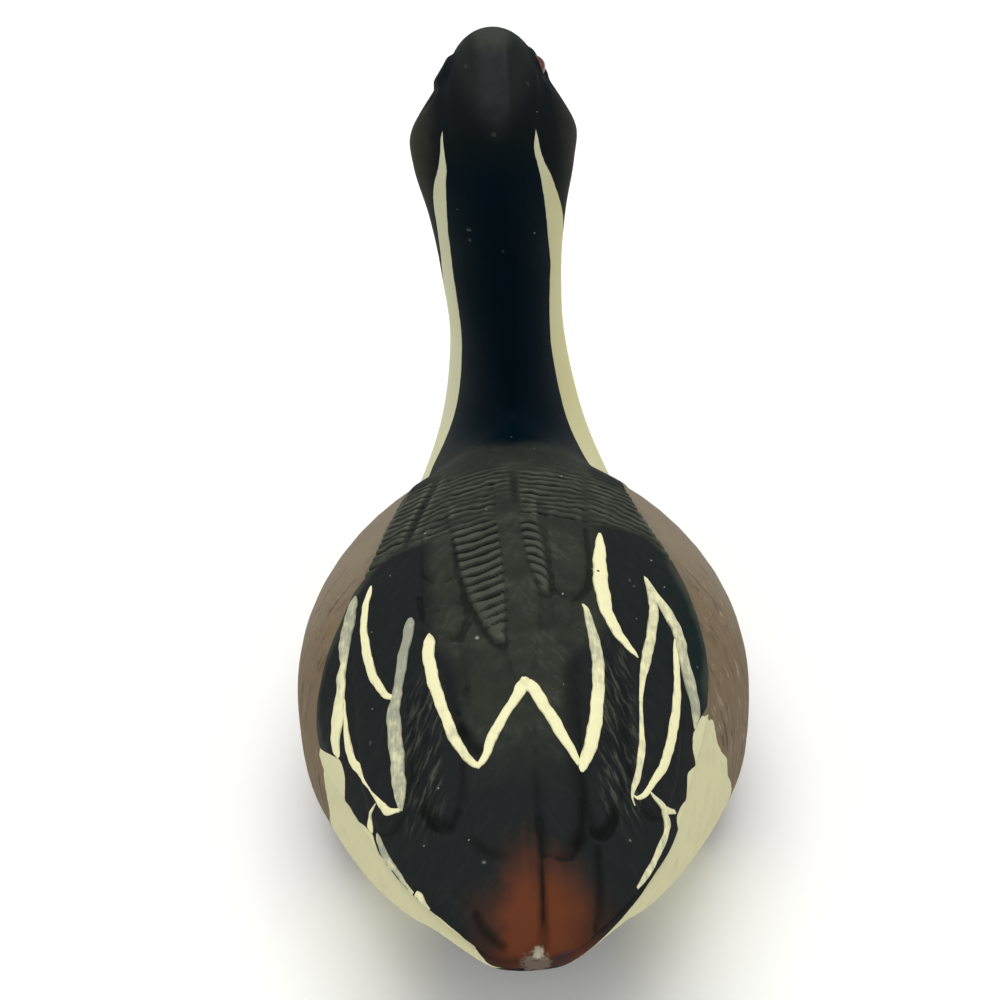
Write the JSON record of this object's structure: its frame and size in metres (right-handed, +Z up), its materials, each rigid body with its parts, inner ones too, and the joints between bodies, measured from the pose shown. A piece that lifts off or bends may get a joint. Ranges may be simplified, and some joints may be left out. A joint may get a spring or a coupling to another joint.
{
  "type": "miniature duck decoy",
  "caption": "Small cast duck decoy with an upright neck, folded wings with carved feathers and a flat underside.",
  "frame": {"origin": "middle of the flat underside, on the surface it stands on", "axes": "the bird faces -Y with its tail towards +Y, its left side is +X, +Z is up"},
  "size_m": [0.0719, 0.158, 0.1093],
  "materials": {
    "painted_resin": "cast resin, hand painted in black, brown, cream and rust, satin to matte"
  },
  "bodies": {
    "root": {"duck_decoy": "painted_resin"}
  },
  "joints": []
}
